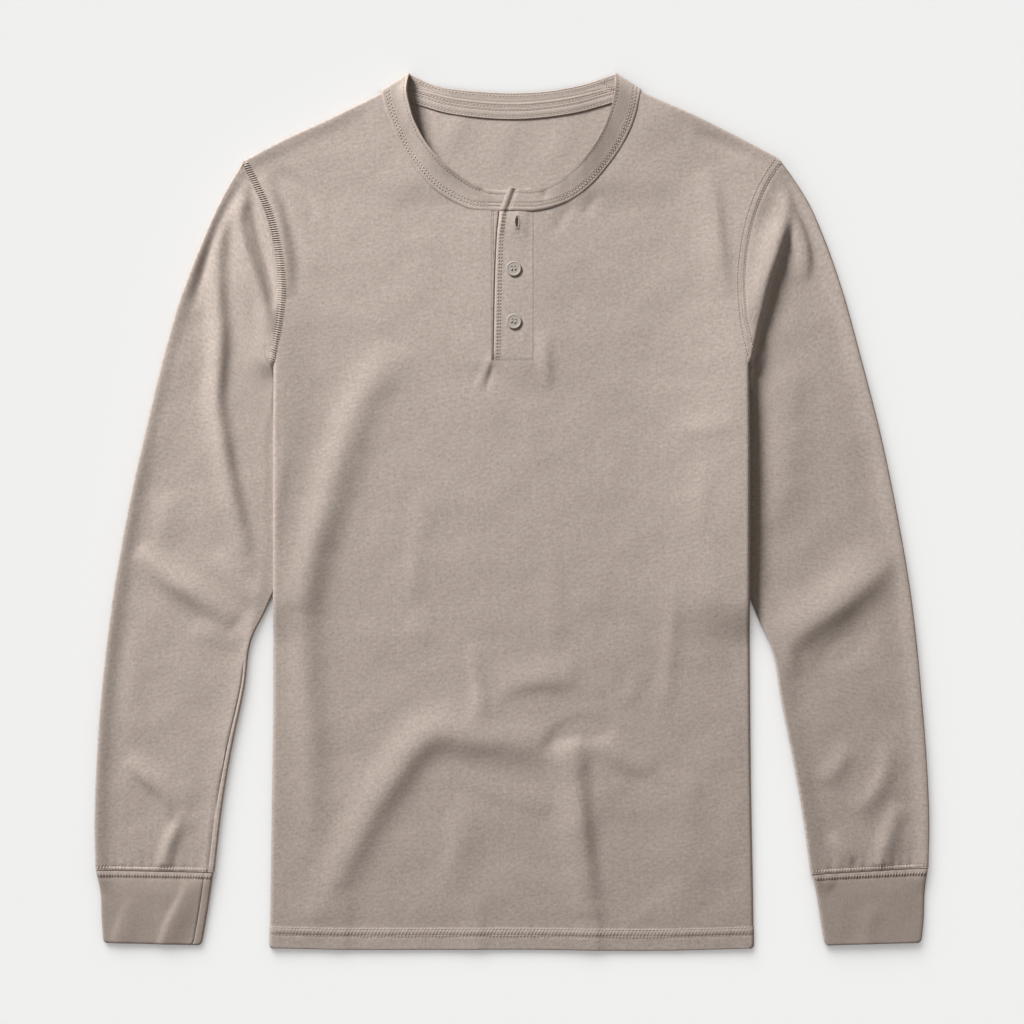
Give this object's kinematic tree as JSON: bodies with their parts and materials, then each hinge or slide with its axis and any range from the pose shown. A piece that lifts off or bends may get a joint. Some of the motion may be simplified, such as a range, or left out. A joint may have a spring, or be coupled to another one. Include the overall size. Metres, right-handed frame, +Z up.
{
  "type": "henley shirt",
  "caption": "Long-sleeved knitted henley shirt laid flat with its front up: banded round neck, short half-open buttoned placket, set-in sleeves, sewn-on cuffs and a straight hem.",
  "frame": {"origin": "centre of the footprint of the shirt as it lies, on the surface it lies on", "axes": "+Z up out of the shirt's front, +Y from the hem to the neck, +X towards the right-hand sleeve as one looks down on the front"},
  "size_m": [0.687, 0.7226, 0.0109],
  "materials": {
    "jersey": "matte heathered cotton jersey, warm taupe",
    "rib": "matte fine rib knit, warm taupe",
    "button": "satin taupe resin, dished, four thread holes"
  },
  "bodies": {
    "root": {"front_panel": "jersey", "back_panel": "jersey", "sleeve_left": "jersey", "sleeve_right": "jersey", "cuff_left": "rib", "cuff_right": "rib", "neckband": "rib", "neck_tape": "jersey", "placket_top": "jersey", "placket_under": "jersey", "button_1": "button", "button_2": "button", "button_3": "button"}
  },
  "joints": []
}
